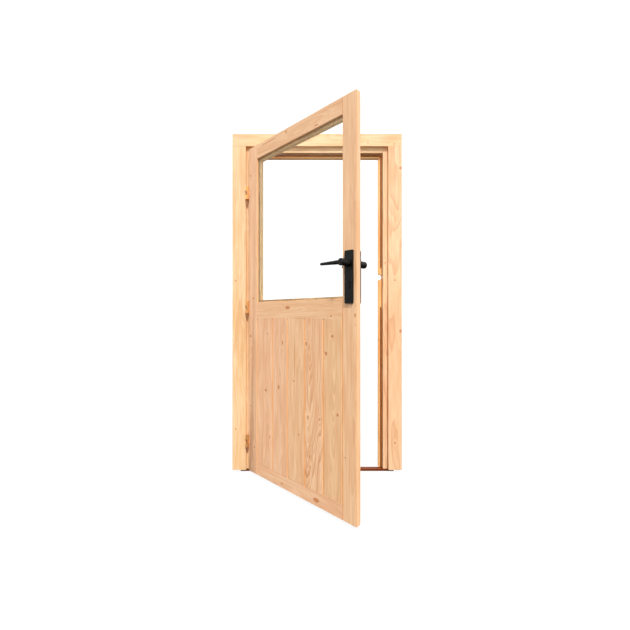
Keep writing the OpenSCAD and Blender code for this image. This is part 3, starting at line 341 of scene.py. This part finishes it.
# Powder coat, sprayed and baked: near black, finely pebbled, with a soft sheen
dress(["plate_outside", "plate_inside", "lever_outside", "lever_inside", "plate_screws", "cylinder_body",
       "cylinder_plug"], two_tone_skin("black_powder_coat", "#0d0b0a", "#161412", 0.9, 0.44, shine=0.2))
for node in ("plate_outside", "plate_inside"):
    ease_edges(node, 1.0, 3)

# Zinc plate, passivated yellow: a soft straw-gold metal, cloudy from the bath
dress([n for n in NODES if n.startswith("hinge_") and n.endswith(("_frame", "_leaf", "_pins"))],
      two_tone_skin("yellow_passivated_zinc", "#f2bd7c", "#e6ab68", 0.8, 0.62, metallic=1.0))

# Zinc plate, bright: cool grey metal with a fine grain
dress(["strike_plate", "strike_screws", "frame_corner_screws", "sill_screws", "lock_case", "lock_cover",
       "lock_forend", "forend_screws", "cylinder_screw", "spindle", "lock_follower", "latch_bolt",
       "dead_bolt"], two_tone_skin("bright_zinc_plate", "#b8babd", "#9b9da1", 0.7, 0.34, metallic=1.0))

# Steel pins in the beads, browned by the oil
dress(["bead_pins"], two_tone_skin("browned_steel", "#7a5233", "#5f3e26", 0.6, 0.5, metallic=1.0))

# Seal rubber, extruded: matt caramel with faint drag marks
dress([n for n in NODES if n.startswith("seal_")],
      two_tone_skin("caramel_seal_rubber", "#a5652f", "#8f5426", 1.5, 0.66))

# Glazing tape, foamed: dull grey-brown
dress(["glazing_tape"], two_tone_skin("foam_glazing_tape", "#6f655b", "#5b5249", 1.2, 0.8))
dress(["glass"], float_glass("clear_float_glass"))


# ------------------------------------------------------------------ floor, light and camera

# The matt floor's own tone, and how brightly it glows
FLOOR_TONE = 0.08
FLOOR_GLOW = 0.92
# Brightness of the plain background that the camera sees
BACKDROP = 1.15
# Light from below, as a share of the room's. It turns to the room's between these heights of a direction.
FROM_BELOW = 0.07
DIM_BELOW = -0.1
FULL_ABOVE = 0.06


def pale_floor(half_m):
    """A matt white floor, lit so that only a breath of shadow shows on it."""
    mesh = bpy.data.meshes.new("floor")
    corners = [(-half_m, -half_m), (half_m, -half_m), (half_m, half_m), (-half_m, half_m)]
    mesh.from_pydata([(x, y, -MM) for x, y in corners], [], [(0, 1, 2, 3)])
    floor = bpy.data.objects.new("floor", mesh)
    bpy.context.scene.collection.objects.link(floor)
    mat, tree = new_material("matt_white_floor")
    shader = add(tree, "ShaderNodeBsdfPrincipled", {
        "Base Color": (FLOOR_TONE, FLOOR_TONE, FLOOR_TONE, 1), "Roughness": 1.0, "Specular IOR Level": 0.0,
        "Emission Color": (1, 1, 1, 1), "Emission Strength": FLOOR_GLOW})
    add(tree, "ShaderNodeOutputMaterial", {"Surface": shader})
    mesh.materials.append(mat)
    floor.visible_diffuse = False
    floor.visible_glossy = False


def soft_studio(strength):
    """Light from a white room with a dim floor, in front of a plain white background."""
    world = bpy.data.worlds.new("studio")
    bpy.context.scene.world = world
    world.use_nodes = True
    tree = world.node_tree
    tree.nodes.clear()
    ray = add(tree, "ShaderNodeLightPath")
    seen = add(tree, "ShaderNodeMath", {0: (ray, "Is Camera Ray"), 1: (ray, "Is Transmission Ray")},
               operation="MAXIMUM")
    way = add(tree, "ShaderNodeTexCoord")
    height = add(tree, "ShaderNodeSeparateXYZ", {"Vector": (way, "Generated")})
    room = add(tree, "ShaderNodeMapRange", {"Value": (height, "Z"), "From Min": DIM_BELOW,
               "From Max": FULL_ABOVE, "To Min": FROM_BELOW * strength, "To Max": strength},
               interpolation_type="SMOOTHSTEP")
    level = add(tree, "ShaderNodeMix", {"Factor": seen, "A": room, "B": BACKDROP})
    background = add(tree, "ShaderNodeBackground", {"Color": (1, 1, 1, 1), "Strength": level})
    add(tree, "ShaderNodeOutputWorld", {"Surface": background})


def key_light(travel, strength, spread_deg):
    """A sun whose light travels along a direction; the wider its spread, the softer its shadows."""
    data = bpy.data.lights.new("key", "SUN")
    data.energy = strength
    data.angle = math.radians(spread_deg)
    lamp = bpy.data.objects.new("key", data)
    lamp.rotation_euler = Vector(travel).to_track_quat("-Z", "Y").to_euler()
    bpy.context.scene.collection.objects.link(lamp)


def add_camera(place, lens_mm, rise):
    """A level camera that faces along +Y, with its picture shifted up or down instead of tilted."""
    data = bpy.data.cameras.new("camera")
    data.sensor_width = 36.0
    data.lens = lens_mm
    data.shift_y = rise
    camera = bpy.data.objects.new("camera", data)
    camera.location = place
    camera.rotation_euler = (math.radians(90), 0, 0)
    bpy.context.scene.collection.objects.link(camera)
    bpy.context.scene.camera = camera


pale_floor(12.0)
soft_studio(1.2)
key_light((-0.5, 1.94, -2.45), 3.0, 2.5)
add_camera((-12.55 * MM, -2182.9 * MM, 933.8 * MM), 20.8, -0.001)
bpy.context.scene.view_settings.view_transform = "Standard"
